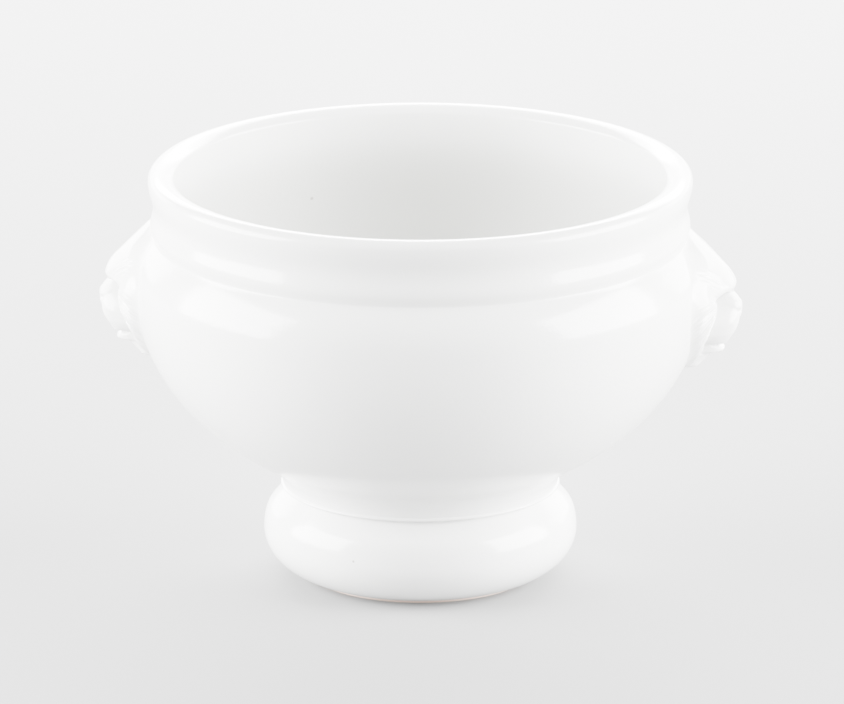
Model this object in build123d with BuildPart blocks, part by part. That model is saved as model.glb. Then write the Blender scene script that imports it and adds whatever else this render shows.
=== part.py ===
from build123d import *
import os
from math import cos, radians, sin, sqrt, tan

# French onion soup crock: a glazed bowl on a pedestal foot, with a lion mask luted to each side.
# Millimetres. The origin is the centre of the resting ring, +Z is up, and the masks face +X and -X.

# Bowl, with heights of the lip, neck and belly measured down from the rim
rim_diameter = 115.0
crock_height = 88.2
lip_thickness = 4.8
lip_rise = 1.9
neck_inset = 0.95
neck_drop = 7.9
band_inset = 0.7
band_drop = 11.2
crease_inset = 1.05
crease_drop = 14.3
belly_swell = 3.1
belly_drop = 23.7
belly_roundness = 0.985
belly_turn = 33.0
wall_thickness = 5.2
floor_thickness = 6.5
floor_diameter = 24.0

# Turned base of the bowl, with a narrow band at the waist and a cove up to the belly
waist_diameter = 59.0
waist_height = 19.5
waist_band = 0.9
cove_reach = 7.2
cove_rise = 8.0

# Pedestal foot
foot_diameter = 66.4
foot_widest_height = 10.2
seam_groove = 0.8
tuck_diameter = 55.4
tuck_height = 2.0
ring_diameter = 47.2
ring_width = 4.2
ring_height = 0.5
hollow_diameter = 44.0

# Lion mask, with reaches measured out from the belly and heights from the belly's widest line
mask_half_width = 18.4
mask_widest_rise = 1.5
mask_rise = 13.4
mask_top_width = 18.0
mask_drop = 18.2
mane_edge = 1.0
mane_rise = 2.0
lock_count = 15
lock_spread = 244.0
lock_groove = 0.5
crown_radius = 9.2
hood_rise = 12.4
hood_slope = 45.0
hood_depth = 13.0
brow_reach = 6.3
brow_rise = 1.0
brow_round = 2.5
brow_drop = 1.3
brow_tuck = 0.6
face_width = 15.2
face_height = 17.6
face_drop = 5.0
face_hollow = 1.2
eye_spacing = 11.4
eye_drop = 2.2
eye_diameter = 4.0
bridge_reach = 5.4
nose_reach = 7.4
nose_drop = 4.6
nose_radius = 4.4
nose_bottom_reach = 6.6
nose_bottom_drop = 8.0
muzzle_reach = 6.2
muzzle_drop = 8.6
muzzle_radius = 6.0
muzzle_round = 2.2
muzzle_spread = 0.8
chin_radius = 4.2
chin_reach = 3.1
chin_drop = 14.5
chin_height = 4.5
ear_length = 7.5
ear_width = 3.4
ear_relief = 0.8
ear_rim = 0.6
ear_distance = 10.0
ear_turn = 27.0

# How many straight chords stand for each turned arc, 0.2 mm off it at most outside and 0.4 mm inside
lip_chord_count = 6
neck_chord_count = 3
shoulder_chord_count = 3
upper_belly_chord_count = 3
lower_belly_chord_count = 4
cove_chord_count = 3
inner_belly_chord_count = 2
floor_chord_count = 4
upper_bun_chord_count = 3
lower_bun_chord_count = 3
brow_chord_count = 2
muzzle_chord_count = 3

# Radii and heights that the profiles share
rim_radius = rim_diameter / 2
lip_height = crock_height - lip_rise
lip_inner_radius = rim_radius - lip_thickness
neck_radius = rim_radius - neck_inset
belly_radius = rim_radius + belly_swell
belly_height = crock_height - belly_drop
crease_radius = rim_radius - crease_inset
crease_height = crock_height - crease_drop
cove_height = waist_height + cove_rise
belly_round = belly_roundness * (belly_height - cove_height)
inner_radius = belly_radius - wall_thickness
inner_round = belly_round - wall_thickness
floor_height = waist_height + floor_thickness
waist_radius = waist_diameter / 2
band_top = waist_height + waist_band
foot_radius = foot_diameter / 2
seat_radius = waist_radius - seam_groove
ring_radius = ring_diameter / 2
hollow_radius = hollow_diameter / 2

os.makedirs("parts", exist_ok=True)


def chords(arc, count):
    """End points of equal chords along an arc, from its start, which keep a turned form light."""
    return [arc @ (step / count) for step in range(count + 1)]


# Outside of the bowl, from the widest line of the lip down to the waist
with BuildLine() as outer_line:
    neck = ThreePointArc(
        (rim_radius, lip_height),
        (neck_radius, crock_height - neck_drop),
        (rim_radius - band_inset, crock_height - band_drop),
    )
    shoulder = TangentArc((belly_radius, belly_height), (crease_radius, crease_height), tangent=(0, 1))
    upper_belly = CenterArc((belly_radius - belly_round, belly_height), belly_round, 0, -belly_turn)
    lower_belly = TangentArc(
        upper_belly @ 1, (waist_radius + cove_reach, cove_height), tangent=upper_belly % 1
    )
    cove = TangentArc(lower_belly @ 1, (waist_radius, band_top), tangent=lower_belly % 1)
outside = [
    *chords(neck, neck_chord_count),
    *chords(shoulder, shoulder_chord_count)[::-1],
    *chords(upper_belly, upper_belly_chord_count)[1:],
    *chords(lower_belly, lower_belly_chord_count)[1:],
    *chords(cove, cove_chord_count)[1:],
    (waist_radius, waist_height),
]

# Inside of the bowl, from the flat of its floor up to the lip, and over the rounded lip
with BuildLine() as inner_line:
    inner_belly = CenterArc((inner_radius - inner_round, belly_height), inner_round, 0, -belly_turn)
    inner_floor = TangentArc(
        inner_belly @ 1, (floor_diameter / 2, floor_height), tangent=inner_belly % 1
    )
    lip = ThreePointArc(
        (lip_inner_radius, lip_height), (rim_radius - lip_thickness / 2, crock_height), neck @ 0
    )
inside = [
    (0, floor_height),
    *chords(inner_floor, floor_chord_count)[::-1],
    *chords(inner_belly, inner_belly_chord_count)[-2::-1],
    *chords(lip, lip_chord_count),
]

# Bowl: one turned section, with the rounded lip, the smooth inside and the flat turned base
with BuildPart() as bowl:
    with BuildSketch(Plane.XZ):
        with BuildLine():
            Polyline(*inside, *outside[1:], (0, waist_height), close=True)
        make_face()
    revolve(axis=Axis.Z)
bowl.part.label = "bowl"
export_step(bowl.part, "parts/bowl.step")

# Pedestal foot: a hollow bun whose flat top is luted to the bowl's base and whose bare ring it rests on
with BuildPart() as pedestal_foot:
    with BuildSketch(Plane.XZ):
        with BuildLine():
            widest = (foot_radius, foot_widest_height)
            upper_bun = TangentArc(widest, (seat_radius, waist_height), tangent=(0, 1), mode=Mode.PRIVATE)
            tuck = (tuck_diameter / 2, tuck_height)
            lower_bun = TangentArc(widest, tuck, tangent=(0, -1), mode=Mode.PRIVATE)
            Polyline(
                (hollow_radius, waist_height),
                *chords(upper_bun, upper_bun_chord_count)[::-1],
                *chords(lower_bun, lower_bun_chord_count)[1:],
                (ring_radius, ring_height),
                (ring_radius, 0),
                (ring_radius - ring_width, 0),
                close=True,
            )
        make_face()
    revolve(axis=Axis.Z)
pedestal_foot.part.label = "pedestal_foot"
export_step(pedestal_foot.part, "parts/pedestal_foot.step")

# The bowl's outside as a solid form, which hollows the back of each mask to the wall
with BuildPart() as wall_form:
    with BuildSketch(Plane.XZ):
        with BuildLine():
            Polyline(*outside, (0, waist_height), (0, lip_height), close=True)
        make_face()
    revolve(axis=Axis.Z)

# Reaches and heights that the mask's forms share
hood_top = belly_height + hood_rise
hood_root = hood_top + neck_inset
hood_axis = belly_radius + brow_reach - hood_depth
brow_height = belly_height + brow_rise
brow_top = brow_height + brow_round
brow_front = belly_radius + brow_reach
mane_side = sqrt(belly_radius**2 - mask_half_width**2) + mane_edge
mane_front = belly_radius + mane_rise
mane_fall = (mane_front - mane_side) / (mask_half_width - crown_radius)
face_floor = mane_front - face_hollow


def mane_reach(distance):
    """Reach of the mane's conical front from the bowl's axis at a distance from the face's centre."""
    return mane_front + mane_fall * (crown_radius - distance)


def mane_plane(turn, distance):
    """Plane lying on the mane's front, its x axis running outwards from the face at a turn in degrees."""
    out = Vector(0, cos(radians(turn)), sin(radians(turn)))
    centre = Vector(mane_reach(distance), 0, belly_height) + out * distance
    return Plane(centre, x_dir=out - Vector(mane_fall, 0, 0), z_dir=Vector(1, 0, 0) + out * mane_fall)


def hood_front(height):
    """Reach of the hood's sloping top from the bowl's axis at a height."""
    return neck_radius + (hood_top - height) / tan(radians(hood_slope))


def turned(points, axis):
    """A solid turned about an axis from a polygon in the mask's upright middle plane."""
    with BuildPart() as form:
        with BuildSketch(Plane.XZ):
            with BuildLine():
                Polyline(*points, close=True)
            make_face()
        revolve(axis=axis)
    return form.part


def ear_leaf(turn):
    """A leaf-shaped ear lying on the mane beside the forehead, hollowed inside its rim."""
    lie = mane_plane(turn, ear_distance)
    with BuildPart() as leaf:
        for tip, bulge, mode in (
            (ear_length / 2, ear_width / 2, Mode.ADD),
            (ear_length / 2 - 2 * ear_rim, ear_width / 2 - ear_rim, Mode.SUBTRACT),
        ):
            with BuildSketch(lie.offset(-ear_relief if mode is Mode.ADD else 0)):
                with BuildLine():
                    ThreePointArc((0, -tip), (bulge, 0), (0, tip))
                    ThreePointArc((0, tip), (-bulge, 0), (0, -tip))
                make_face()
            extrude(amount=2 * ear_relief, mode=mode)
    return leaf.part


# Hood: the forehead, turned about an upright axis. It slopes out from the neck and rolls under at the brow.
with BuildLine() as brow_line:
    slope = Line((hood_front(hood_root), hood_root), (hood_front(brow_top), brow_top))
    brow = TangentArc(slope @ 1, (brow_front, brow_height), tangent=slope % 1)
hood = turned(
    [
        (hood_axis, hood_root),
        slope @ 0,
        *chords(brow, brow_chord_count),
        (brow_front - brow_tuck, belly_height - brow_drop),
        (hood_axis, belly_height - brow_drop),
    ],
    Axis((hood_axis, 0, 0), (0, 0, 1)),
)

# Nose: the bridge widens from the brow to the nose, which turns in below its tip
nose_axis = belly_radius + nose_reach - nose_radius
nose_bottom = belly_height - nose_bottom_drop
nose = turned(
    [
        (nose_axis, brow_height),
        (belly_radius + bridge_reach, brow_height),
        (belly_radius + nose_reach, belly_height - nose_drop),
        (belly_radius + nose_bottom_reach, nose_bottom),
        (nose_axis, nose_bottom),
    ],
    Axis((nose_axis, 0, 0), (0, 0, 1)),
)

# Muzzle: a broad boss under the nose, with a domed front
muzzle_height = belly_height - muzzle_drop
with BuildLine() as muzzle_line:
    dome = TangentArc(
        (belly_radius + muzzle_reach, muzzle_height),
        (belly_radius + muzzle_reach - muzzle_round, muzzle_height + muzzle_radius),
        tangent=(0, 1),
    )
muzzle = turned(
    [
        (inner_radius, muzzle_height),
        *chords(dome, muzzle_chord_count),
        (face_floor, muzzle_height + muzzle_radius + muzzle_spread),
        (inner_radius, muzzle_height + muzzle_radius + muzzle_spread),
    ],
    Axis((0, 0, muzzle_height), (1, 0, 0)),
)

# One mask: mane, face, hood, eyes, nose, muzzle, chin and ears, with its back cut to the wall
mane_span = mask_half_width + mask_drop
lock_step = lock_spread / (lock_count - 1)
lock_planes = [
    mane_plane(270 - lock_spread / 2 + lock_step * step, mask_half_width) for step in range(lock_count)
]
outline_bulge = sqrt(1 / 2)
with BuildPart() as mask:
    with BuildSketch(Plane.YZ.offset(mane_reach(mane_span))):
        with BuildLine():
            widest_height = belly_height + mask_widest_rise
            mask_top = belly_height + mask_rise
            for side in (1, -1):
                lower = ThreePointArc(
                    (0, belly_height - mask_drop),
                    (
                        side * mask_half_width * outline_bulge,
                        widest_height - (mask_drop + mask_widest_rise) * outline_bulge,
                    ),
                    (side * mask_half_width, widest_height),
                )
                TangentArc(lower @ 1, (side * mask_top_width / 2, mask_top), tangent=lower % 1)
            Line((-mask_top_width / 2, mask_top), (mask_top_width / 2, mask_top))
        make_face()
    extrude(amount=mane_front - mane_reach(mane_span))
    add(
        turned(
            [
                (mane_reach(mane_span), belly_height),
                (mane_reach(mane_span), belly_height - mane_span),
                (mane_front, belly_height - crown_radius),
                (mane_front, belly_height),
            ],
            Axis((0, 0, belly_height), (1, 0, 0)),
        ),
        mode=Mode.INTERSECT,
    )
    with Locations(*lock_planes):
        Box(
            mane_span - 2 * crown_radius,
            lock_groove * sqrt(2),
            lock_groove * sqrt(2),
            rotation=(45, 0, 0),
            mode=Mode.SUBTRACT,
        )
    with BuildSketch(Plane.XZ):
        with BuildLine():
            Polyline(
                (hood_front(hood_root + mask_rise), hood_root + mask_rise),
                (hood_front(belly_height), belly_height),
                (hood_front(belly_height), hood_root + mask_rise),
                close=True,
            )
        make_face()
    extrude(amount=mask_half_width, both=True, mode=Mode.SUBTRACT)
    with BuildSketch(Plane.YZ.offset(face_floor)):
        with Locations((0, belly_height - face_drop)):
            SlotOverall(face_height, face_width, rotation=90)
    extrude(amount=mask_half_width, mode=Mode.SUBTRACT)
    add(hood)
    with BuildSketch(Plane.YZ.offset(face_floor)):
        with Locations((0, belly_height - eye_drop)):
            with GridLocations(eye_spacing, 0, 2, 1):
                Circle(eye_diameter / 2)
    extrude(amount=mask_half_width, mode=Mode.SUBTRACT)
    add(nose)
    add(muzzle)
    with BuildSketch(Plane.XY.offset(belly_height - chin_drop)):
        with Locations((belly_radius + chin_reach - chin_radius, 0)):
            Circle(chin_radius)
    extrude(amount=chin_height)
    add(ear_leaf(ear_turn))
    add(ear_leaf(180 - ear_turn))
    add(wall_form.part, mode=Mode.SUBTRACT)

# The same mask is luted to both sides
for name, turn in (("lion_head_right", 0), ("lion_head_left", 180)):
    with BuildPart() as lion_head:
        add(mask.part, rotation=(0, 0, turn))
    lion_head.part.label = name
    export_step(lion_head.part, f"parts/{name}.step")
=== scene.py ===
"""White onion soup crock with lion masks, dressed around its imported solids."""

import logging
import math
from dataclasses import dataclass, field
from enum import Enum

import bmesh
import bpy
import numpy as np
from mathutils import Matrix, Vector
from mathutils.geometry import interpolate_bezier


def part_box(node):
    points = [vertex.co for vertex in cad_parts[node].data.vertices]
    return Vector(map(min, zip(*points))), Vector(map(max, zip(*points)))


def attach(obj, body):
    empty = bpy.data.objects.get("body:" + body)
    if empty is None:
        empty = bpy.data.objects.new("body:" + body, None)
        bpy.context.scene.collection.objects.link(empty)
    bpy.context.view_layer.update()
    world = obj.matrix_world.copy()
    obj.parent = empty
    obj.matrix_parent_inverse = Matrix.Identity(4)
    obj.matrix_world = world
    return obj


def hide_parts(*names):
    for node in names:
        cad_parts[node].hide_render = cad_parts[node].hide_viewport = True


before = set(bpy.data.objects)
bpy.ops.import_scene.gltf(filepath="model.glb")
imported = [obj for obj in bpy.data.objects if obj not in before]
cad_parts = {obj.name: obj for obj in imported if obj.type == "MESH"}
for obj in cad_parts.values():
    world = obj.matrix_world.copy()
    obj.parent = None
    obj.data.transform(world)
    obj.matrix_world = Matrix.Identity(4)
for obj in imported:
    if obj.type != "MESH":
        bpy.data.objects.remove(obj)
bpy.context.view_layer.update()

LOG = logging.getLogger("soup_crock")
BODY = "root"

# Metres in a millimetre, and the gap in metres under which the ends of a turn are one
MM = 0.001
SEAM_GAP = 1e-7
ORIGIN = Vector((0.0, 0.0, 0.0))

# Reach in millimetres that lies behind every wall, given to a form where it doesn't show
BEHIND = -30.0

Pair = tuple[float, float]
Point = tuple[float, float, float]
Colour = tuple[float, float, float, float]
Number = float | np.ndarray
Tree = bpy.types.NodeTree
Socket = bpy.types.NodeSocket


class Node(Enum):
    """The solids of the crock that get a dressed piece."""

    BOWL = "bowl"
    FOOT = "pedestal_foot"
    RIGHT_HEAD = "lion_head_right"
    LEFT_HEAD = "lion_head_left"


def frame_box(node: Node) -> tuple[Vector, Vector]:
    """Box of a solid in millimetres.

    Args:
        node: The solid to measure.

    Returns:
        Its lowest and highest corners.
    """
    low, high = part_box(node.value)
    return low / MM, high / MM


def ease(low: Number, high: Number, value: np.ndarray) -> np.ndarray:
    """Smooth rise from 0 at one value to 1 at another.

    Args:
        low: Where the rise starts.
        high: Where it ends, above or below low.
        value: Where to read it.

    Returns:
        The share from 0 to 1.
    """
    share = np.clip((value - low) / (high - low), 0.0, 1.0)
    return share * share * (3.0 - 2.0 * share)


def soft_max(first: np.ndarray, second: Number, blend: float) -> np.ndarray:
    """Larger of two reaches, rounded where they cross.

    Args:
        first: One reach.
        second: The other.
        blend: Difference under which the crossing is rounded.

    Returns:
        The blended reach.
    """
    overlap = np.maximum(0.0, blend - np.abs(first - second)) / blend
    return np.maximum(first, second) + overlap * overlap * blend / 4.0


def soft_min(first: np.ndarray, second: Number, blend: float) -> np.ndarray:
    """Smaller of two reaches, rounded where they cross."""
    return -soft_max(-first, -second, blend)


def swell(across: np.ndarray, along: Number = 0.0) -> np.ndarray:
    """Round bump of height 1 that fades with distance from its middle."""
    return np.exp(-across * across - along * along)


def leaning(out: np.ndarray, up: np.ndarray, tilt: float) -> tuple[np.ndarray, np.ndarray]:
    """Turns steps from a middle into steps along and across a leaning axis.

    Args:
        out: Steps away from the middle plane.
        up: Steps upwards.
        tilt: The axis's angle above the horizontal, in degrees.

    Returns:
        The steps along the axis and across it.
    """
    turn = math.radians(tilt)
    along = out * math.cos(turn) + up * math.sin(turn)
    return along, up * math.cos(turn) - out * math.sin(turn)


def turned_round(
    shape: bmesh.types.BMesh,
    chain: list[bmesh.types.BMVert | bmesh.types.BMEdge],
    axis: str,
    facets: int,
) -> None:
    """Turns a chain once round an axis: an eighth is spun, then doubled three times, which is quick.

    Args:
        shape: The bmesh that holds the chain.
        chain: The chain's vertices and edges.
        axis: The axis through the origin, X or Z.
        facets: Facets in the whole turn, a multiple of 8.
    """
    along = Vector((axis == "X", 0.0, axis == "Z"))
    eighth = math.tau / 8
    bmesh.ops.spin(shape, geom=chain, cent=ORIGIN, axis=along, angle=eighth, steps=facets // 8)
    for done in (eighth, 2 * eighth, 4 * eighth):
        whole = shape.verts[:] + shape.edges[:] + shape.faces[:]
        copied = bmesh.ops.duplicate(shape, geom=whole)["geom"]
        verts = [item for item in copied if isinstance(item, bmesh.types.BMVert)]
        turn = Matrix.Rotation(done, 3, axis)
        bmesh.ops.rotate(shape, verts=verts, cent=ORIGIN, matrix=turn)


def piece_mesh(name: str, shape: bmesh.types.BMesh, crease: float) -> bpy.types.Mesh:
    """Closes a bmesh's seams and turns it into a smooth mesh.

    Args:
        name: The mesh's name.
        shape: The bmesh. It is freed.
        crease: Angle in degrees past which an edge stays sharp.

    Returns:
        The mesh.
    """
    bmesh.ops.remove_doubles(shape, verts=shape.verts, dist=SEAM_GAP)
    bmesh.ops.recalc_face_normals(shape, faces=shape.faces)
    mesh = bpy.data.meshes.new(name)
    shape.to_mesh(mesh)
    shape.free()
    mesh.shade_smooth()
    mesh.set_sharp_from_angle(angle=math.radians(crease))
    return mesh


def placed(node: Node, mesh: bpy.types.Mesh) -> bpy.types.Object:
    """Sets a mesh in the scene as the dressed piece of a solid.

    Args:
        node: The solid that it stands for.
        mesh: The mesh, already in place.

    Returns:
        The piece.
    """
    mesh.name = f"{node.value}_glazed"
    piece = bpy.data.objects.new(mesh.name, mesh)
    bpy.context.scene.collection.objects.link(piece)
    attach(piece, BODY)
    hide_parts(node.value)
    return piece


@dataclass(frozen=True)
class Bend:
    """How a curved stretch of a section leaves its start and comes to its end.

    Both are steps of radius and height in millimetres, from the stretch's ends to its handles.
    """

    leave: Pair
    arrive: Pair
    steps: int


@dataclass
class TurnedSection:
    """Half section of a turned piece, as points of radius and height in millimetres."""

    points: list[Vector] = field(default_factory=list)
    crease: float = 40.0

    def line(self, radius: float, height: float, steps: int = 1) -> None:
        """Adds a straight stretch.

        Args:
            radius: Radius at its end.
            height: Height at its end.
            steps: Equal parts to cut it into.
        """
        end = Vector((radius, height))
        start = self.points[-1] if self.points else end
        for step in range(1, steps + 1):
            self.points.append(start.lerp(end, step / steps))

    def ellipse(self, centre: Pair, half_axes: Pair, angles: Pair, steps: int) -> None:
        """Adds an elliptical arc.

        Args:
            centre: Radius and height of the ellipse's centre.
            half_axes: Half axes along the radius and along the height.
            angles: Angles in degrees at which it starts and ends.
            steps: Parts to cut it into.
        """
        start, end = angles
        for step in range(steps + 1):
            angle = math.radians(start + (end - start) * step / steps)
            radius = centre[0] + half_axes[0] * math.cos(angle)
            height = centre[1] + half_axes[1] * math.sin(angle)
            self.points.append(Vector((radius, height)))

    def curve(self, bend: Bend, radius: float, height: float) -> None:
        """Adds a Bezier stretch from the last point.

        Args:
            bend: How it leaves and arrives.
            radius: Radius at its end.
            height: Height at its end.
        """
        start, end = self.points[-1], Vector((radius, height))
        leave, arrive = start + Vector(bend.leave), end + Vector(bend.arrive)
        line = interpolate_bezier(start, leave, arrive, end, bend.steps + 1)
        self.points.extend(Vector(point[:2]) for point in line[1:])

    def spun(self, node: Node, facets: int, ring: bool) -> bpy.types.Object:
        """Turns the section about the crock's axis.

        Args:
            node: The solid that the piece stands for.
            facets: Facets round the axis.
            ring: True if the section is a closed loop clear of the axis.

        Returns:
            The turned piece.
        """
        shape = bmesh.new()
        verts = [shape.verts.new((point.x * MM, 0.0, point.y * MM)) for point in self.points]
        edges = [shape.edges.new(pair) for pair in zip(verts, verts[1:])]
        if ring:
            edges.append(shape.edges.new((verts[-1], verts[0])))
        turned_round(shape, verts + edges, "Z", facets)
        return placed(node, piece_mesh(node.value, shape, self.crease))


@dataclass(frozen=True)
class Speck:
    """A dark kiln speck, by its place and radius in millimetres."""

    centre: Point
    radius: float


@dataclass(frozen=True)
class GlazeFinish:
    """Glossy white glaze with a faint unevenness, a few kiln specks and, low down, bare clay.

    A clay height or an inside height of 0 leaves the clay or the greyer inside out. The greyer inside
    is partly pooled glaze and partly painted shade.
    """

    name: str
    colour: Colour = (0.74, 0.742, 0.732, 1.0)
    roughness: float = 0.16
    refraction: float = 1.47
    pool_colour: Colour = (0.72, 0.726, 0.714, 1.0)
    pool_scale: float = 26.0
    pool_detail: float = 2.0
    ripple: float = 0.03
    ripple_scale: float = 140.0
    peel: float = 0.03
    peel_scale: float = 1300.0
    wave_detail: float = 1.0
    specks: tuple[Speck, ...] = ()
    speck_colour: Colour = (0.36, 0.35, 0.32, 1.0)
    speck_core: float = 0.5
    clay_height: float = 0.0
    clay_blur: float = 0.3
    clay_colour: Colour = (0.62, 0.47, 0.39, 1.0)
    clay_roughness: float = 0.7
    # Greyer inside of the bowl: partly pooled glaze, partly painted shade of the deep inside
    inside_height: float = 0.0
    inside_radius: float = 57.6
    inside_depth: float = 42.0
    inside_core: float = 0.95
    inside_glaze_and_shade_colour: Colour = (0.62, 0.625, 0.602, 1.0)

    def material(self) -> bpy.types.Material:
        """Builds the finish as a node material on Object coordinates.

        Returns:
            The material.
        """
        made = bpy.data.materials.new(self.name)
        made.use_nodes = True
        tree = made.node_tree
        shader = tree.nodes["Principled BSDF"]
        shader.inputs["IOR"].default_value = self.refraction
        place = tree.nodes.new("ShaderNodeTexCoord").outputs["Object"]
        pools = self._noise(tree, place, self.pool_scale, self.pool_detail)
        glaze = tree.nodes.new("ShaderNodeMix")
        glaze.data_type = "RGBA"
        glaze.inputs["A"].default_value = self.colour
        glaze.inputs["B"].default_value = self.pool_colour
        tree.links.new(pools, glaze.inputs["Factor"])
        colour = glaze.outputs["Result"]
        # The greyer inside is partly painted shade
        if self.inside_height:
            colour = self._inside_glaze_and_shade(tree, place, colour)
        for speck in self.specks:
            colour = self._spot(tree, place, colour, speck)
        if self.clay_height:
            colour = self._bare_clay(tree, place, colour, shader)
        else:
            shader.inputs["Roughness"].default_value = self.roughness
        tree.links.new(colour, shader.inputs["Base Color"])
        self._ripples(tree, place, shader)
        return made

    def _noise(self, tree: Tree, place: Socket, scale: float, detail: float) -> Socket:
        """Adds a noise over the piece.

        Args:
            tree: The material's nodes.
            place: The Object coordinates.
            scale: The noise's scale.
            detail: Its finer layers.

        Returns:
            The noise, from 0 to 1.
        """
        noise = tree.nodes.new("ShaderNodeTexNoise")
        noise.inputs["Scale"].default_value = scale
        noise.inputs["Detail"].default_value = detail
        tree.links.new(place, noise.inputs["Vector"])
        return noise.outputs["Fac"]

    def _vector_step(
        self, tree: Tree, operation: str, start: Socket, other: Vector
    ) -> bpy.types.Node:
        """Adds one step of vector maths with a fixed vector.

        Args:
            tree: The material's nodes.
            operation: What the step does.
            start: The vector that comes in.
            other: The fixed vector.

        Returns:
            The step's node.
        """
        step = tree.nodes.new("ShaderNodeVectorMath")
        step.operation = operation
        step.inputs[1].default_value = other
        tree.links.new(start, step.inputs[0])
        return step

    def _laid_over(
        self, tree: Tree, under: Socket, over: Colour, measure: Socket, edge: Pair
    ) -> tuple[Socket, Socket]:
        """Lays one colour over another where a measure is low.

        Args:
            tree: The material's nodes.
            under: The colour so far.
            over: The colour to lay over it.
            measure: The measure that says where.
            edge: The measures at which the new colour starts and is full.

        Returns:
            The two colours as one, and the share of the new one.
        """
        fade = tree.nodes.new("ShaderNodeMapRange")
        fade.interpolation_type = "SMOOTHSTEP"
        fade.inputs["From Min"].default_value = edge[0]
        fade.inputs["From Max"].default_value = edge[1]
        tree.links.new(measure, fade.inputs["Value"])
        mix = tree.nodes.new("ShaderNodeMix")
        mix.data_type = "RGBA"
        mix.inputs["B"].default_value = over
        tree.links.new(fade.outputs["Result"], mix.inputs["Factor"])
        tree.links.new(under, mix.inputs["A"])
        return mix.outputs["Result"], fade.outputs["Result"]

    def _inside_glaze_and_shade(self, tree: Tree, place: Socket, colour: Socket) -> Socket:
        """Makes the glaze greyer inside the bowl, in an egg-shaped space that ends within its wall:
        partly pooled glaze, partly painted shade of the deep inside.

        Args:
            tree: The material's nodes.
            place: The Object coordinates.
            colour: The colour so far.

        Returns:
            The colour with the greyer inside, partly painted shade.
        """
        middle = Vector((0.0, 0.0, self.inside_height)) * MM
        half_axes = Vector((self.inside_radius, self.inside_radius, self.inside_depth)) * MM
        apart = self._vector_step(tree, "SUBTRACT", place, middle)
        share = self._vector_step(tree, "DIVIDE", apart.outputs["Vector"], half_axes)
        away = self._vector_step(tree, "DISTANCE", share.outputs["Vector"], ORIGIN)
        edge = (1.0, self.inside_core)
        # Lays the greyer colour over the inside: partly pooled glaze, partly painted shade
        return self._laid_over(tree, colour, self.inside_glaze_and_shade_colour, away.outputs["Value"], edge)[0]

    def _spot(self, tree: Tree, place: Socket, colour: Socket, speck: Speck) -> Socket:
        """Lays one dark kiln speck over a colour.

        Args:
            tree: The material's nodes.
            place: The Object coordinates.
            colour: The colour so far.
            speck: The speck.

        Returns:
            The colour with the speck.
        """
        away = self._vector_step(tree, "DISTANCE", place, Vector(speck.centre) * MM)
        edge = (speck.radius * MM, speck.radius * MM * self.speck_core)
        return self._laid_over(tree, colour, self.speck_colour, away.outputs["Value"], edge)[0]

    def _bare_clay(
        self, tree: Tree, place: Socket, colour: Socket, shader: bpy.types.Node
    ) -> Socket:
        """Shows wiped, unglazed clay below a height.

        Args:
            tree: The material's nodes.
            place: The Object coordinates.
            colour: The glaze's colour.
            shader: The shader, whose roughness follows the clay.

        Returns:
            The colour with the clay.
        """
        split = tree.nodes.new("ShaderNodeSeparateXYZ")
        tree.links.new(place, split.inputs["Vector"])
        start = self.clay_height * (1.0 + self.clay_blur) * MM
        full = self.clay_height * (1.0 - self.clay_blur) * MM
        clay, share = self._laid_over(
            tree, colour, self.clay_colour, split.outputs["Z"], (start, full)
        )
        gloss = tree.nodes.new("ShaderNodeMapRange")
        gloss.inputs["To Min"].default_value = self.roughness
        gloss.inputs["To Max"].default_value = self.clay_roughness
        tree.links.new(share, gloss.inputs["Value"])
        tree.links.new(gloss.outputs["Result"], shader.inputs["Roughness"])
        return clay

    def _ripples(self, tree: Tree, place: Socket, shader: bpy.types.Node) -> None:
        """Gives the glaze its faint ripple and its orange peel.

        Args:
            tree: The material's nodes.
            place: The Object coordinates.
            shader: The shader that they bump.
        """
        normal = None
        for scale, strength in ((self.ripple_scale, self.ripple), (self.peel_scale, self.peel)):
            waves = self._noise(tree, place, scale, self.wave_detail)
            bump = tree.nodes.new("ShaderNodeBump")
            bump.inputs["Strength"].default_value = strength
            bump.inputs["Distance"].default_value = MM
            tree.links.new(waves, bump.inputs["Height"])
            if normal:
                tree.links.new(normal, bump.inputs["Normal"])
            normal = bump.outputs["Normal"]
        tree.links.new(normal, shader.inputs["Normal"])


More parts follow.
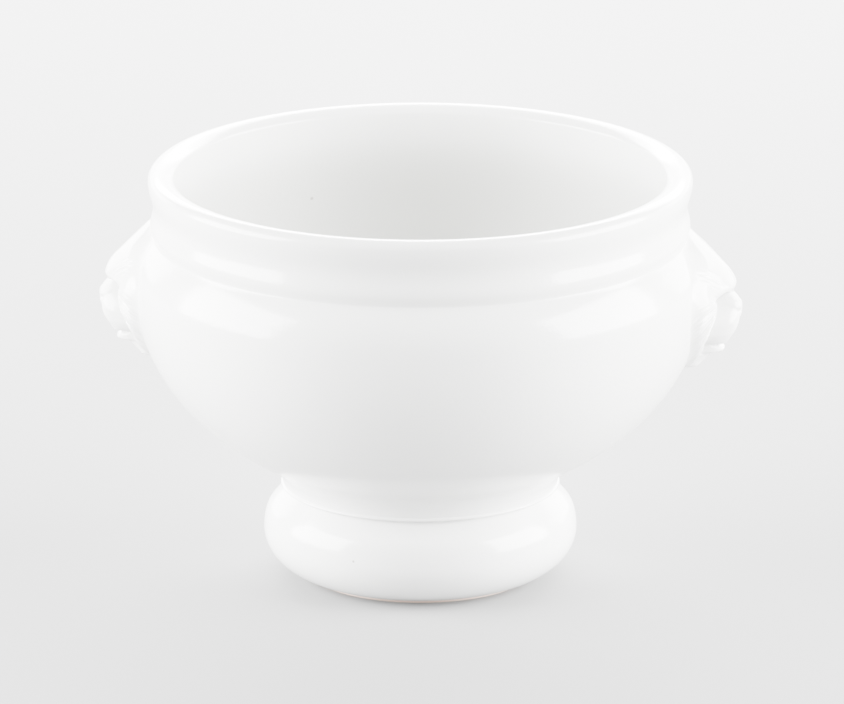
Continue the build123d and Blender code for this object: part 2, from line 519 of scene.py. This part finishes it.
@dataclass
class Bowl:
    """The turned bowl. Heights of the lip, neck and belly are measured down from the rim."""

    belly_radius: float
    crock_height: float
    waist_height: float
    rim_inset: float = 3.1
    lip_thickness: float = 5.4
    lip_rise: float = 1.9
    lip_roll: float = 2.2
    lip_dip: float = 1.1
    lip_bend: Bend = Bend((-1.4, 0.0), (0.5, 0.45), 10)
    mouth_round: Pair = (0.3, 0.9)
    mouth_bend: Bend = Bend((-0.3, -0.27), (0.0, 0.5), 6)
    neck_inset: float = 4.2
    neck_drop: float = 7.9
    neck_bend: Bend = Bend((0.0, 2.2), (0.0, -2.4), 12)
    band_inset: float = 3.55
    band_drop: float = 11.6
    band_bend: Bend = Bend((0.0, 1.1), (0.0, -1.4), 10)
    crease_inset: float = 4.15
    crease_drop: float = 14.3
    crease_bend: Bend = Bend((-0.35, 0.4), (0.0, -1.3), 12)
    belly_drop: float = 23.7
    belly_end_radius: float = 36.6
    belly_end_rise: float = 8.0
    cove_leave: Pair = (0.6, 4.2)
    cove_pull: float = 4.6
    wall_thickness: float = 5.2
    wall_bend: Bend = Bend((0.0, -8.0), (0.0, 7.0), 16)
    floor_thickness: float = 6.5
    waist_radius: float = 29.2
    bead_height: float = 0.9
    bead_bulge: float = 0.4
    bead_angles: Pair = (-80.0, 60.0)
    facets: int = 288

    @property
    def belly_height(self) -> float:
        """Height of the belly's widest line."""
        return self.crock_height - self.belly_drop

    @property
    def lower_angle(self) -> float:
        """Angle on the lower ellipse, in degrees, at which the belly ends."""
        return math.degrees(math.acos(self.belly_end_radius / self.belly_radius))

    @property
    def lower_depth(self) -> float:
        """Half height of the ellipse below the widest line."""
        end = self.waist_height + self.belly_end_rise
        return (self.belly_height - end) / math.sin(math.radians(self.lower_angle))

    @property
    def shoulder_angle(self) -> float:
        """Angle on the shoulder's ellipse, in degrees, at which the crease lies."""
        return math.degrees(math.acos(1.0 - self.crease_inset / self.belly_radius))

    @property
    def shoulder_rise(self) -> float:
        """Half height of the ellipse above the widest line."""
        return (self.belly_drop - self.crease_drop) / math.sin(math.radians(self.shoulder_angle))

    def outer_radius(self, rise: np.ndarray) -> np.ndarray:
        """Radius of the outside near the belly.

        Args:
            rise: Heights above the belly's widest line.

        Returns:
            The wall's radius there.
        """
        depth = np.where(rise < 0.0, self.lower_depth, self.shoulder_rise)
        share = np.minimum(rise, self.belly_drop - self.crease_drop) / depth
        return self.belly_radius * np.sqrt(1.0 - share * share)

    def section(self) -> TurnedSection:
        """Draws the half section.

        Returns:
            The section, from the middle of the base round to the middle of the floor.
        """
        drawn = TurnedSection()
        self._draw_outside(drawn)
        self._draw_inside(drawn)
        return drawn

    def _draw_outside(self, drawn: TurnedSection) -> None:
        """Draws the base, the bead at the waist, the cove, the belly, the band, the neck and the lip.

        Args:
            drawn: The section to draw on.
        """
        bead_radius = self.waist_radius - self.bead_bulge
        bead_rise = self.bead_height / 2
        drawn.line(0.0, self.waist_height)
        drawn.line(bead_radius, self.waist_height, steps=8)
        bead_middle = (bead_radius, self.waist_height + bead_rise)
        drawn.ellipse(bead_middle, (2 * self.bead_bulge, bead_rise), self.bead_angles, steps=8)
        tilt = math.radians(self.lower_angle)
        along = Vector((self.belly_radius * math.sin(tilt), self.lower_depth * math.cos(tilt)))
        cove_arrive = tuple(-self.cove_pull * along.normalized())
        cove = Bend(self.cove_leave, cove_arrive, steps=14)
        drawn.curve(cove, self.belly_end_radius, self.waist_height + self.belly_end_rise)
        middle = (0.0, self.belly_height)
        lower_axes = (self.belly_radius, self.lower_depth)
        shoulder_axes = (self.belly_radius, self.shoulder_rise)
        drawn.ellipse(middle, lower_axes, (-self.lower_angle, 0.0), steps=44)
        drawn.ellipse(middle, shoulder_axes, (0.0, self.shoulder_angle), steps=14)
        band_radius = self.belly_radius - self.band_inset
        neck_radius = self.belly_radius - self.neck_inset
        rim_radius = self.belly_radius - self.rim_inset
        lip_height = self.crock_height - self.lip_rise
        drawn.curve(self.crease_bend, band_radius, self.crock_height - self.band_drop)
        drawn.curve(self.band_bend, neck_radius, self.crock_height - self.neck_drop)
        drawn.curve(self.neck_bend, rim_radius, lip_height)
        roll_middle = (rim_radius - self.lip_roll, lip_height)
        drawn.ellipse(roll_middle, (self.lip_roll, self.lip_rise), (0.0, 90.0), steps=14)

    def _draw_inside(self, drawn: TurnedSection) -> None:
        """Draws the top of the lip, the mouth, the wall and the round floor inside.

        Args:
            drawn: The section to draw on.
        """
        mouth_radius = self.belly_radius - self.rim_inset - self.lip_thickness
        mouth_height = self.crock_height - self.lip_dip
        inner_radius = self.belly_radius - self.wall_thickness
        floor_depth = self.belly_height - (self.waist_height + self.floor_thickness)
        drawn.curve(self.lip_bend, mouth_radius + self.mouth_round[0], mouth_height)
        drawn.curve(self.mouth_bend, mouth_radius, mouth_height - self.mouth_round[1])
        drawn.curve(self.wall_bend, inner_radius, self.belly_height)
        middle = (0.0, self.belly_height)
        drawn.ellipse(middle, (inner_radius, floor_depth), (0.0, -90.0), steps=48)

    def build(self, finish: GlazeFinish) -> bpy.types.Object:
        """Spins the bowl and glazes it.

        Args:
            finish: Its glaze.

        Returns:
            The glazed bowl.
        """
        piece = self.section().spun(Node.BOWL, self.facets, ring=False)
        piece.data.materials.append(finish.material())
        return piece


@dataclass
class PedestalFoot:
    """The hollow bun under the bowl, with the bare ring that it stands on."""

    radius: float
    height: float
    widest_height: float = 10.2
    seat_radius: float = 28.7
    seat_width: float = 6.7
    seat_round: float = 0.5
    seat_edge: float = 0.2
    seat_bend: Bend = Bend((0.3, 0.0), (-0.2, 0.25), 4)
    shoulder_radius: float = 31.6
    shoulder_height: float = 15.9
    shoulder_bend: Bend = Bend((0.9, -1.0), (-0.9, 1.1), 10)
    bun_bend: Bend = Bend((0.8, -0.9), (0.0, 3.0), 12)
    tuck_radius: float = 20.0
    ring_radius: float = 23.6
    ring_width: float = 4.2
    ring_height: float = 0.5
    ring_edge: float = 0.1
    facets: int = 288

    def section(self) -> TurnedSection:
        """Draws the closed half section.

        Returns:
            The section, from the seat's inner edge round the outside to the hollow.
        """
        bun_reach = self.radius - self.tuck_radius
        bun_angle = math.degrees(math.acos((self.ring_radius - self.tuck_radius) / bun_reach))
        bun_depth = (self.widest_height - self.ring_height) / math.sin(math.radians(bun_angle))
        bun_middle = (self.tuck_radius, self.widest_height)
        hollow_radius = self.seat_radius - self.seat_width
        drawn = TurnedSection()
        drawn.line(hollow_radius, self.height)
        drawn.line(self.seat_radius - self.seat_round, self.height, steps=6)
        drawn.curve(self.seat_bend, self.seat_radius, self.height - self.seat_round)
        drawn.curve(self.shoulder_bend, self.shoulder_radius, self.shoulder_height)
        drawn.curve(self.bun_bend, self.radius, self.widest_height)
        drawn.ellipse(bun_middle, (bun_reach, bun_depth), (0.0, -bun_angle), steps=26)
        drawn.line(self.ring_radius, self.ring_edge)
        drawn.line(self.ring_radius - self.ring_edge, 0.0)
        drawn.line(self.ring_radius - self.ring_width, 0.0, steps=3)
        drawn.line(hollow_radius, self.height - self.seat_edge, steps=12)
        return drawn

    def build(self, finish: GlazeFinish) -> bpy.types.Object:
        """Spins the foot and glazes it.

        Args:
            finish: Its glaze.

        Returns:
            The glazed foot.
        """
        piece = self.section().spun(Node.FOOT, self.facets, ring=True)
        piece.data.materials.append(finish.material())
        return piece


@dataclass(frozen=True)
class Mound:
    """A round swelling or hollow on each side of the mask, in millimetres."""

    height: float
    side: float
    rise: float
    half_width: float
    half_height: float

    def relief(self, side: np.ndarray, rise: np.ndarray) -> np.ndarray:
        """Its height at points of the mask."""
        across, along = (side - self.side) / self.half_width, (rise - self.rise) / self.half_height
        return self.height * swell(across, along)


@dataclass(frozen=True)
class Mane:
    """Ruff of hair: a ridge beside the face that falls outwards to the edge, close to the wall.

    Reaches are measured out from the belly's radius, and turns in degrees above the horizontal.
    A pair of turns, rises or shares says where something starts and where it is full.
    """

    centre_drop: float = 3.0
    outline: float = 15.1
    corner: float = 2.5
    corner_turn: float = 15.0
    corner_spread: float = 30.0
    pinch: float = 0.9
    pinch_turn: float = -46.0
    pinch_spread: float = 24.0
    top: float = 0.9
    top_turn: float = 90.0
    top_spread: float = 25.0
    ridge_radius: float = 9.0
    ridge_spread: float = 2.4
    ridge_spread_turns: Pair = (-20.0, -75.0)
    ridge_high: float = 2.8
    ridge_low: float = -0.8
    ridge_high_turns: Pair = (-72.0, 0.0)
    ridge_sink: float = 7.0
    ridge_sink_turns: Pair = (5.0, 55.0)
    ridge_inside: float = 2.2
    face_floor: float = 0.6
    floor_drop: float = 0.6
    edge_stand: float = 0.2
    fall_bulge: float = 0.1
    locks: int = 9
    lock_depth: float = 0.45
    lock_sway: float = 0.9
    lock_waves: float = 3.0
    strands: int = 42
    strand_depth: float = 0.75
    strand_sway: float = 0.8
    strand_waves: float = 5.0
    strand_turn_waves: float = 7.0
    hair_level: float = 0.6
    hair_shares: Pair = (0.0, 0.25)
    hair_turns: Pair = (18.0, -10.0)
    swirl: float = 20.0
    tier_rise: float = -1.4
    tier_rises: Pair = (-0.35, 0.25)
    tier_fall: float = 0.28
    tier_step: float = 0.4
    tier_shares: Pair = (0.0, 0.2)
    tier_end_shares: Pair = (0.9, 0.5)
    tier_smooth: float = 0.65

    def polar(self, side: np.ndarray, rise: np.ndarray) -> tuple[np.ndarray, np.ndarray]:
        """Distance of points of the mask from the fan's centre, and their turn in degrees."""
        up = rise + self.centre_drop
        return np.hypot(side, up), np.degrees(np.arctan2(up, side))

    def edge_radius(self, turn: np.ndarray) -> np.ndarray:
        """Distance of the mask's outline from the fan's centre.

        Args:
            turn: The turns to read it at.

        Returns:
            The distances.
        """
        corner = self.corner * swell((turn - self.corner_turn) / self.corner_spread)
        pinch = self.pinch * swell((turn - self.pinch_turn) / self.pinch_spread)
        top = self.top * swell((turn - self.top_turn) / self.top_spread)
        return self.outline + corner - pinch + top

    def hair(self, turn: np.ndarray, share: np.ndarray) -> np.ndarray:
        """Relief of the locks and strands.

        Args:
            turn: Turn round the face.
            share: Place between the ridge, 0, and the edge, 1.

        Returns:
            The height to add.
        """
        bent = np.radians(turn + self.swirl * share * share)
        lock_sway = self.lock_sway * np.sin(self.lock_waves * share)
        lock = np.abs(np.sin(self.locks * bent + lock_sway)) - self.hair_level
        waves = np.sin(self.strand_waves * share + self.strand_turn_waves * bent)
        strand = np.abs(np.sin(self.strands * bent + self.strand_sway * waves)) - self.hair_level
        return self.lock_depth * lock + self.strand_depth * strand

    def reach(self, side: np.ndarray, rise: np.ndarray, wall: np.ndarray) -> np.ndarray:
        """Reach of the mane, and of the face's floor inside it.

        Args:
            side: Distance from the middle plane.
            rise: Height above the belly's widest line.
            wall: Reach of the bowl's wall behind the points.

        Returns:
            The reach.
        """
        distance, turn = self.polar(side, rise)
        ridge_radius = self.ridge_radius + self.ridge_spread * ease(*self.ridge_spread_turns, turn)
        ridge_lift = (self.ridge_high - self.ridge_low) * ease(*self.ridge_high_turns, turn)
        ridge = self.ridge_low + ridge_lift - self.ridge_sink * ease(*self.ridge_sink_turns, turn)
        floor = np.minimum(self.face_floor, ridge - self.floor_drop)
        inside = ease(ridge_radius - self.ridge_inside, ridge_radius, distance)
        face = floor + (ridge - floor) * inside
        width = self.edge_radius(turn) - ridge_radius
        share = np.clip((distance - ridge_radius) / width, 0.0, 1.0)
        edge = wall + self.edge_stand
        fall = edge + (ridge - edge) * (1.0 - share) * (1.0 + self.fall_bulge * share)
        tier_line = self.tier_fall * (side - self.ridge_radius)
        tier = ease(*self.tier_rises, rise - self.tier_rise + tier_line)
        hair = self.hair(turn, share) * ease(*self.hair_shares, share) * ease(*self.hair_turns, turn)
        fall += hair * (1.0 - self.tier_smooth * tier)
        step = self.tier_step * tier * ease(*self.tier_shares, share)
        fall += step * ease(*self.tier_end_shares, share)
        return np.where(distance <= ridge_radius, face, fall)


@dataclass(frozen=True)
class Hood:
    """The forehead: a slope out from the neck that rolls under at the brow."""

    root_rise: float = 12.55
    root_reach: float = -4.05
    ceiling: float = 6.35
    roll: float = 2.2
    tuck: float = 0.6
    tuck_rises: Pair = (0.6, -1.4)
    crown_width: float = 3.3
    crown_fall: float = 1.95
    crown_ease: float = 0.7
    crown_ease_rise: float = 8.0
    crown_ease_height: float = 3.2
    brow_rise: float = -1.4
    brow_edge: Pair = (-0.4, 0.4)
    arch: float = 0.95
    arch_side: float = 5.4
    arch_width: float = 2.3
    ridge: Mound = Mound(height=0.45, side=4.2, rise=0.9, half_width=2.4, half_height=1.1)
    furrow: Mound = Mound(height=0.25, side=0.0, rise=1.5, half_width=0.7, half_height=2.2)

    def reach(self, side: np.ndarray, rise: np.ndarray) -> np.ndarray:
        """Reach of the forehead's surface.

        Args:
            side: Distance from the middle plane.
            rise: Height above the belly's widest line.

        Returns:
            The reach.
        """
        slope = self.root_reach + self.root_rise - rise
        middle = soft_min(slope, self.ceiling, self.roll) - self.tuck * ease(*self.tuck_rises, rise)
        eased = self.crown_ease * swell((rise - self.crown_ease_rise) / self.crown_ease_height)
        crown = (self.crown_fall - eased) * (np.hypot(1.0, side / self.crown_width) - 1.0)
        return middle - crown + self.ridge.relief(side, rise) - self.furrow.relief(side, rise)

    def cover(self, side: np.ndarray, rise: np.ndarray) -> np.ndarray:
        """How far points are under the brow, 0, or on the hood, 1."""
        under = self.brow_rise + self.arch * swell((side - self.arch_side) / self.arch_width)
        return ease(*self.brow_edge, rise - under)


@dataclass(frozen=True)
class Muzzle:
    """Bridge, nose, whisker pads, mouth and chin.

    A pair of rises says where something starts and where it is full.
    """

    root_reach: float = -1.5
    tip_reach: float = 7.4
    tip_rise: float = -4.2
    bridge_top: float = 4.0
    bridge_fall: float = 0.19
    bridge_width: float = 2.7
    pad_width: float = 5.8
    pad_rises: Pair = (-1.5, -8.0)
    pad_squareness: float = 2.5
    pad_fullness: float = 0.6
    lip_fall: float = 0.044
    lip_width: float = 4.5
    lip_rises: Pair = (-9.5, -12.8)
    lip_rise: float = -12.9
    lip_curl: float = 1.3
    lip_below: float = 0.35
    lip_above: float = 0.45
    nose_raise: float = 0.2
    nose_width: float = 2.7
    nose_low_width: float = 0.8
    nose_top: float = -3.0
    nose_bottom: float = -6.5
    nose_side_edge: Pair = (0.3, -0.2)
    nose_top_edge: float = 0.35
    nose_bottom_edge: float = 0.3
    nostril: Mound = Mound(height=0.55, side=1.35, rise=-5.2, half_width=0.6, half_height=0.45)
    whiskers: Mound = Mound(height=0.45, side=2.9, rise=-8.6, half_width=1.9, half_height=2.1)
    cleft_depth: float = 0.4
    cleft_width: float = 0.38
    cleft_top: Pair = (0.2, -0.6)
    cleft_bottom: float = -0.4
    chin_reach: float = 3.9
    chin_width: float = 3.7
    chin_squareness: float = 3.0
    chin_fullness: float = 0.5
    chin_rise: float = -13.5
    chin_bottom: float = -14.7
    chin_bottom_edge: float = 0.8
    chin_gap: float = 0.5
    chin_root: float = -3.0
    throat_reach: float = 2.3
    throat_blend: float = 0.6

    def body(self, side: np.ndarray, rise: np.ndarray) -> np.ndarray:
        """Reach of the bridge and the pads, far behind the wall outside them.

        Args:
            side: Distance from the middle plane.
            rise: Height above the belly's widest line.

        Returns:
            The reach.
        """
        fall = np.where(rise > self.tip_rise, self.bridge_fall, self.lip_fall)
        middle = self.tip_reach - fall * (rise - self.tip_rise) ** 2
        width = self.bridge_width + (self.pad_width - self.bridge_width) * ease(*self.pad_rises, rise)
        width = width - (self.pad_width - self.lip_width) * ease(*self.lip_rises, rise)
        hollow = (side / width) ** self.pad_squareness
        rounding = np.clip(1.0 - hollow, 0.0, 1.0) ** self.pad_fullness
        edge = self.lip_edge(side)
        lip = ease(edge - self.lip_below, edge + self.lip_above, rise)
        reach = self.root_reach + (middle - self.root_reach) * rounding * lip
        reach = reach + self.carving(side, rise)
        shown = (side < width) & (middle > self.root_reach) & (rise < self.bridge_top) & (lip > 0.0)
        return np.where(shown, reach, BEHIND)

    def lip_edge(self, side: np.ndarray) -> np.ndarray:
        """Rise of the upper lip's edge, which curls up to the corners of the mouth."""
        return self.lip_rise + self.lip_curl * (side / self.lip_width) ** 2

    def carving(self, side: np.ndarray, rise: np.ndarray) -> np.ndarray:
        """Relief of the nose pad, nostrils, whisker pads and the cleft of the lip.

        Args:
            side: Distance from the middle plane.
            rise: Height above the belly's widest line.

        Returns:
            The height to add to the muzzle.
        """
        top, bottom = self.nose_top, self.nose_bottom
        taper = ease(bottom, top, rise)
        width = self.nose_low_width + (self.nose_width - self.nose_low_width) * taper
        nose = ease(*self.nose_side_edge, side - width)
        nose = nose * ease(top + self.nose_top_edge, top - self.nose_top_edge, rise)
        nose = nose * ease(bottom - self.nose_bottom_edge, bottom + self.nose_bottom_edge, rise)
        cleft_start, cleft_full = self.cleft_top
        cleft = swell(side / self.cleft_width) * ease(bottom + cleft_start, bottom + cleft_full, rise)
        cleft = cleft * ease(self.lip_rise + self.cleft_bottom, self.lip_rise, rise)
        return (
            self.nose_raise * nose
            - self.nostril.relief(side, rise)
            + self.whiskers.relief(side, rise)
            - self.cleft_depth * cleft
        )

    def chin(self, side: np.ndarray, rise: np.ndarray) -> np.ndarray:
        """Reach of the chin under the mouth, far behind the wall outside it.

        Args:
            side: Distance from the middle plane.
            rise: Height above the belly's widest line.

        Returns:
            The reach.
        """
        hollow = (side / self.chin_width) ** self.chin_squareness
        rounding = np.clip(1.0 - hollow, 0.0, 1.0) ** self.chin_fullness
        edge = self.lip_edge(side)
        block = ease(edge, edge - self.chin_gap, rise)
        block = block * ease(self.chin_bottom, self.chin_bottom + self.chin_bottom_edge, rise)
        front = self.chin_root + (self.chin_reach - self.chin_root) * block
        throat = self.throat_reach + rise - self.chin_rise
        reach = soft_max(front, throat, self.throat_blend)
        reach = self.chin_root + (reach - self.chin_root) * rounding
        return np.where((side < self.chin_width) & (rise < edge), reach, BEHIND)


@dataclass(frozen=True)
class Eye:
    """One sunk eye under the brow, with a lid round the ball.

    The lid's place and the socket's spread are in shares of the eye's half width and half height.
    """

    side: float = 5.3
    rise: float = -2.6
    half_width: float = 1.9
    half_height: float = 1.15
    tilt: float = 14.0
    ball: float = 1.1
    lid: float = 0.4
    lid_place: float = 1.2
    lid_spread: float = 0.22
    socket: float = 0.65
    socket_spread: Pair = (1.6, 1.7)

    def relief(self, side: np.ndarray, rise: np.ndarray) -> np.ndarray:
        """Height to add to the face's floor.

        Args:
            side: Distance from the middle plane.
            rise: Height above the belly's widest line.

        Returns:
            The relief, negative in the socket.
        """
        along, across = leaning(side - self.side, rise - self.rise, self.tilt)
        along, across = along / self.half_width, across / self.half_height
        away = np.hypot(along, across)
        ball = self.ball * np.sqrt(np.clip(1.0 - away * away, 0.0, 1.0))
        lid = self.lid * swell((away - self.lid_place) / self.lid_spread)
        socket = swell(along / self.socket_spread[0], across / self.socket_spread[1])
        return ball + lid - self.socket * socket


@dataclass(frozen=True)
class Tuft:
    """A tuft of short hair combed outwards from the end of each brow."""

    side: float = 8.6
    rise: float = 3.6
    half_length: float = 3.4
    half_width: float = 2.6
    tilt: float = 34.0
    stroke_width: float = 1.25
    stroke_depth: float = 0.13
    stroke_bend: float = 0.06
    fade: Pair = (1.0, 0.4)

    def relief(self, side: np.ndarray, rise: np.ndarray) -> np.ndarray:
        """Height to add to the hood and mane.

        Args:
            side: Distance from the middle plane.
            rise: Height above the belly's widest line.

        Returns:
            The relief.
        """
        along, across = leaning(side - self.side, rise - self.rise, self.tilt)
        away = np.hypot(along / self.half_length, across / self.half_width)
        bent = across + self.stroke_bend * along * along
        strokes = np.cos(math.tau * bent / self.stroke_width)
        return self.stroke_depth * strokes * ease(*self.fade, away)


@dataclass
class LionMask:
    """Pressed lion mask: a relief on the bowl's side, closed at its back inside the wall.

    The fillet is the share of the way out to the edge at which the relief starts to run out into the
    wall. It starts earlier beside the hood and later at the top and the bottom.
    """

    bowl: Bowl
    mane: Mane = Mane()
    hood: Hood = Hood()
    muzzle: Muzzle = Muzzle()
    eye: Eye = Eye()
    tuft: Tuft = Tuft()
    eye_fade: float = 2.0
    hood_blend: float = 0.9
    chin_blend: float = 0.4
    muzzle_blend: float = 0.5
    sunk: float = 0.7
    flush: float = 0.2
    fillet: float = 0.86
    upper_fillet: float = 0.16
    upper_turns: Pair = (-10.0, 20.0)
    upper_end_turns: Pair = (85.0, 60.0)
    end_fillet: float = 0.1
    end_turns: Pair = (50.0, 80.0)
    rings: int = 76
    back_rings: int = 6
    facets: int = 960
    crease: float = 60.0

    def wall(self, across: np.ndarray, rise: np.ndarray) -> np.ndarray:
        """Reach of the bowl's wall out from the belly's radius, behind places on the mask."""
        radius = self.bowl.outer_radius(rise)
        return np.sqrt(radius * radius - across * across) - self.bowl.belly_radius

    def relief(self, across: np.ndarray, rise: np.ndarray) -> np.ndarray:
        """Reach of the carved front.

        Args:
            across: Places across the mask, from its middle plane.
            rise: Heights above the belly's widest line.

        Returns:
            The reach out from the belly's radius.
        """
        side = np.abs(across)
        wall = self.wall(across, rise)
        distance, turn = self.mane.polar(side, rise)
        front = self.mane.reach(side, rise, wall)
        eye_edge = self.mane.ridge_radius
        front += self.eye.relief(side, rise) * ease(eye_edge, eye_edge - self.eye_fade, distance)
        hooded = soft_max(front, self.hood.reach(side, rise), self.hood_blend)
        front += (hooded - front) * self.hood.cover(side, rise)
        front += self.tuft.relief(side, rise)
        front = soft_max(front, self.muzzle.chin(side, rise), self.chin_blend)
        front = soft_max(front, self.muzzle.body(side, rise), self.muzzle_blend)
        brink = distance / self.mane.edge_radius(turn)
        upper = self.upper_fillet * ease(*self.upper_turns, turn) * ease(*self.upper_end_turns, turn)
        fillet = self.fillet - upper + self.end_fillet * ease(*self.end_turns, np.abs(turn))
        under = wall - self.flush
        return np.maximum(under + (front - under) * ease(1.0, fillet, brink), under)

    def disc(self) -> bpy.types.Mesh:
        """Spins a chain of points into a double disc, front at x = 1 and back at x = -1.

        Returns:
            The disc's mesh, of radius 1.
        """
        shape = bmesh.new()
        front = [(1.0, ring / self.rings, 0.0) for ring in range(self.rings + 1)]
        back = [(-1.0, 1.0 - ring / self.back_rings, 0.0) for ring in range(self.back_rings + 1)]
        chain = [shape.verts.new(place) for place in front + back]
        edges = [shape.edges.new(pair) for pair in zip(chain, chain[1:])]
        turned_round(shape, chain + edges, "X", self.facets)
        return piece_mesh("mask_disc", shape, self.crease)

    def pressed(self, disc: np.ndarray) -> np.ndarray:
        """Moves the points of the flat disc to their places on the mask.

        Args:
            disc: The points, with x above 0 on the front and below 0 on the back.

        Returns:
            Their places on the +X side, in millimetres.
        """
        turn = np.degrees(np.arctan2(disc[:, 2], np.abs(disc[:, 1])))
        edge = self.mane.edge_radius(turn)
        across = edge * disc[:, 1]
        rise = edge * disc[:, 2] - self.mane.centre_drop
        sunk = self.wall(across, rise) - self.sunk
        reach = np.where(disc[:, 0] > 0.0, self.relief(across, rise), sunk)
        out, height = self.bowl.belly_radius + reach, self.bowl.belly_height + rise
        return np.column_stack((out, across, height))

    def build(self, finish: GlazeFinish) -> list[bpy.types.Object]:
        """Presses one mask to the relief and sets it on both sides of the bowl.

        Args:
            finish: The masks' glaze.

        Returns:
            The right and the left mask.
        """
        right = self.disc()
        places = np.empty(len(right.vertices) * 3)
        right.vertices.foreach_get("co", places)
        pressed = self.pressed(places.reshape(-1, 3)) * MM
        right.vertices.foreach_set("co", pressed.ravel())
        right.materials.append(finish.material())
        left = right.copy()
        left.transform(Matrix.Rotation(math.pi, 4, "Z"))
        return [placed(Node.RIGHT_HEAD, right), placed(Node.LEFT_HEAD, left)]


@dataclass(frozen=True)
class SoftBox:
    """One soft box: its centre, the size of its face and the point that it faces, in millimetres."""

    name: str
    place: Point
    width: float
    height: float
    watts: float
    aim: Point

    def hang(self) -> None:
        """Hangs the box in the scene."""
        light = bpy.data.lights.new(self.name, "AREA")
        light.shape = "RECTANGLE"
        light.size, light.size_y = self.width * MM, self.height * MM
        light.energy = self.watts
        box = bpy.data.objects.new(self.name, light)
        box.location = Vector(self.place) * MM
        aim = Vector(self.aim) * MM - box.location
        box.rotation_euler = aim.to_track_quat("-Z", "Y").to_euler()
        bpy.context.scene.collection.objects.link(box)


@dataclass
class Studio:
    """Pale floor, soft boxes, and the camera at the photograph's viewing angle."""

    azimuth: float = 4.6
    elevation: float = 16.1
    distance: float = 2500.0
    frame_width: float = 178.8
    aim_height: float = 48.3
    aim_right: float = 0.36
    view_depth: float = 100000.0
    floor_size: float = 9000.0
    floor_colour: Colour = (0.3, 0.3, 0.3, 1.0)
    floor_roughness: float = 0.9
    room_colour: Colour = (1.0, 1.0, 1.0, 1.0)
    room_light: float = 0.05

    def view_axes(self) -> tuple[Vector, Vector]:
        """Directions from the crock to the camera and to the camera's right.

        Returns:
            The two unit vectors.
        """
        turn, lift = math.radians(self.azimuth), math.radians(self.elevation)
        right = Vector((math.cos(turn), math.sin(turn), 0.0))
        level = math.cos(lift)
        return Vector((math.sin(turn) * level, -math.cos(turn) * level, math.sin(lift))), right

    def soft_boxes(self) -> list[SoftBox]:
        """The boxes at both sides, the one over the floor behind, and the lit backdrop.

        Returns:
            The boxes.
        """
        crock = (0.0, 0.0, self.aim_height)
        floor_behind = (0.0, 260.0, 0.0)
        side = {"width": 900.0, "height": 700.0, "watts": 132.0, "aim": crock}
        behind = {"width": 900.0, "height": 300.0, "watts": 50.0, "aim": floor_behind}
        backdrop = {"width": 2600.0, "height": 560.0, "watts": 90.0, "aim": crock}
        return [
            SoftBox("left_box", (-900.0, -170.0, 350.0), **side),
            SoftBox("right_box", (910.0, -70.0, 350.0), **side),
            SoftBox("back_box", (0.0, 620.0, 420.0), **behind),
            SoftBox("backdrop", (0.0, 1000.0, 330.0), **backdrop),
        ]

    def build(self) -> None:
        """Makes the floor, the lights and the camera."""
        self._floor()
        self._room()
        for box in self.soft_boxes():
            box.hang()
        self._camera()

    def _floor(self) -> None:
        """Lays a plain pale floor under the crock."""
        shape = bmesh.new()
        bmesh.ops.create_grid(shape, x_segments=1, y_segments=1, size=self.floor_size / 2 * MM)
        mesh = bpy.data.meshes.new("floor")
        shape.to_mesh(mesh)
        shape.free()
        floor = bpy.data.objects.new("floor", mesh)
        bpy.context.scene.collection.objects.link(floor)
        paint = bpy.data.materials.new("floor_paint")
        paint.use_nodes = True
        shader = paint.node_tree.nodes["Principled BSDF"]
        shader.inputs["Base Color"].default_value = self.floor_colour
        shader.inputs["Roughness"].default_value = self.floor_roughness
        shader.inputs["Specular IOR Level"].default_value = 0.0
        mesh.materials.append(paint)

    def _room(self) -> None:
        """Fills the room with even white light."""
        world = bpy.data.worlds.new("white_room")
        world.use_nodes = True
        background = world.node_tree.nodes["Background"]
        background.inputs["Color"].default_value = self.room_colour
        background.inputs["Strength"].default_value = self.room_light
        bpy.context.scene.world = world

    def _camera(self) -> None:
        """Sets the camera."""
        back, right = self.view_axes()
        lens = bpy.data.cameras.new("camera")
        lens.lens = lens.sensor_width * self.distance / self.frame_width
        lens.clip_end = self.view_depth * MM
        camera = bpy.data.objects.new("camera", lens)
        aim = Vector((0.0, 0.0, self.aim_height)) + right * self.aim_right
        camera.location = (aim + back * self.distance) * MM
        camera.rotation_euler = (-back).to_track_quat("-Z", "Y").to_euler()
        bpy.context.scene.collection.objects.link(camera)
        bpy.context.scene.camera = camera


def write_sizes() -> None:
    """Updates the view layer, so that the pieces' places are current."""
    bpy.context.view_layer.update()


def main() -> None:
    """Builds the crock piece by piece, then the studio."""
    logging.basicConfig(level=logging.INFO, format="%(message)s")
    bowl_low, bowl_high = frame_box(Node.BOWL)
    _, foot_high = frame_box(Node.FOOT)
    bowl = Bowl(belly_radius=bowl_high.x, crock_height=bowl_high.z, waist_height=bowl_low.z)
    foot = PedestalFoot(radius=foot_high.x, height=foot_high.z)
    wall_speck = Speck(centre=(-27.2, 47.7, 68.3), radius=0.55)
    foot_speck = Speck(centre=(-11.6, -31.0, 11.1), radius=0.35)
    # The bowl's greyer inside is partly pooled glaze and partly painted shade
    bowl_glaze = GlazeFinish("bowl_glaze", specks=(wall_speck,), inside_height=bowl.belly_height)
    foot_glaze = GlazeFinish("foot_glaze", specks=(foot_speck,), clay_height=foot.ring_height)
    pieces = [bowl.build(bowl_glaze), foot.build(foot_glaze)]
    pieces += LionMask(bowl).build(GlazeFinish("mask_glaze"))
    for piece in pieces:
        LOG.info("built %s with %d faces", piece.name, len(piece.data.polygons))
    Studio().build()
    write_sizes()


if __name__ == "__main__":
    main()
